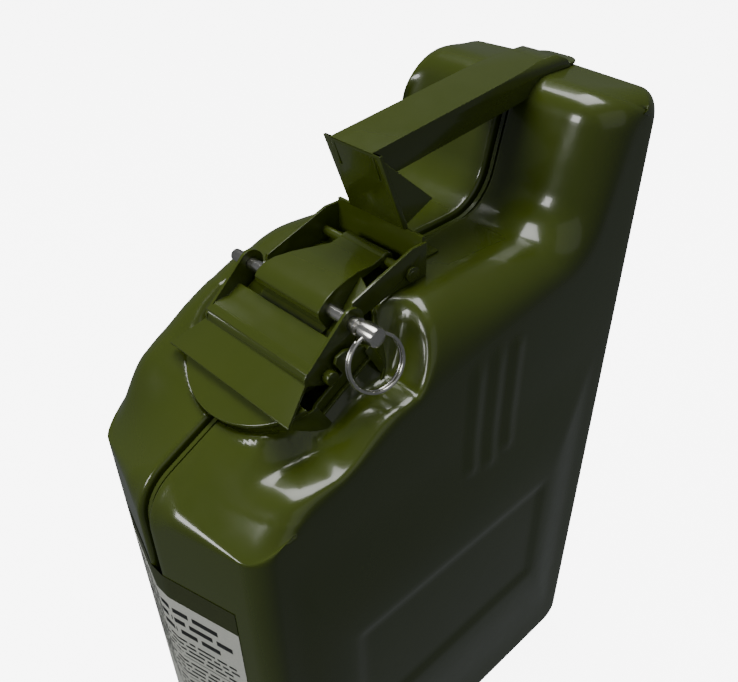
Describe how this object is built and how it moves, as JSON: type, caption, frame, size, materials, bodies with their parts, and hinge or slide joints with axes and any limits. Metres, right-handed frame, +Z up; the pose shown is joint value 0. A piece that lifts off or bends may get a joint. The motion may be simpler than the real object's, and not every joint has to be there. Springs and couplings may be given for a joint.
{
  "type": "jerry can",
  "caption": "Pressed-steel fuel can with a slanted mouth, a hinged lid locked by a lever and pull pin, and a carrying handle.",
  "frame": {"origin": "middle of the footprint, on the surface the can stands on", "axes": "+Z up, -X towards the mouth, -Y towards the pull ring, Y through the thickness"},
  "size_m": [0.267, 0.126, 0.405],
  "materials": {
    "enamel": "gloss",
    "zinc": "satin",
    "seal": "matte",
    "paper": "satin"
  },
  "bodies": {
    "can": {"right_shell": "enamel", "left_shell": "enamel", "seam_flange": "enamel", "neck_collar": "enamel", "neck_tube": "enamel", "breather_tube": "zinc", "right_catch_lug": "enamel", "left_catch_lug": "enamel", "hinge_bracket": "enamel", "hinge_pin": "enamel", "handle": "enamel", "handle_tongue": "enamel", "handle_leg": "enamel", "front_label": "paper"},
    "lid": {"lid_plate": "enamel", "lid_gasket": "seal", "gasket_retainer": "zinc", "lid_rivet": "zinc", "yoke": "enamel"},
    "lever": {"lever": "enamel", "right_latch_stud": "enamel", "left_latch_stud": "enamel"},
    "pin": {"safety_pin": "zinc"},
    "ring": {"pull_ring": "zinc"}
  },
  "joints": [
    {"name": "lid_hinge", "type": "hinge", "parent": "can", "child": "lid", "pos_m": [-0.005, 0, 0.3405], "axis": [0, 1, 0], "range_deg": [0, 70]},
    {"name": "lever_pivot", "type": "hinge", "parent": "lid", "child": "lever", "pos_m": [-0.0443, 0, 0.336], "axis": [0, 1, 0], "range_deg": [0, 55]},
    {"name": "pin_slide", "type": "slide", "parent": "lid", "child": "pin", "axis": [0, -1, 0], "range_m": [0, 0.08]},
    {"name": "ring_swing", "type": "hinge", "parent": "pin", "child": "ring", "pos_m": [-0.0443, -0.0445, 0.336], "axis": [1, 0, 0], "range_deg": [-144, 14]}
  ]
}
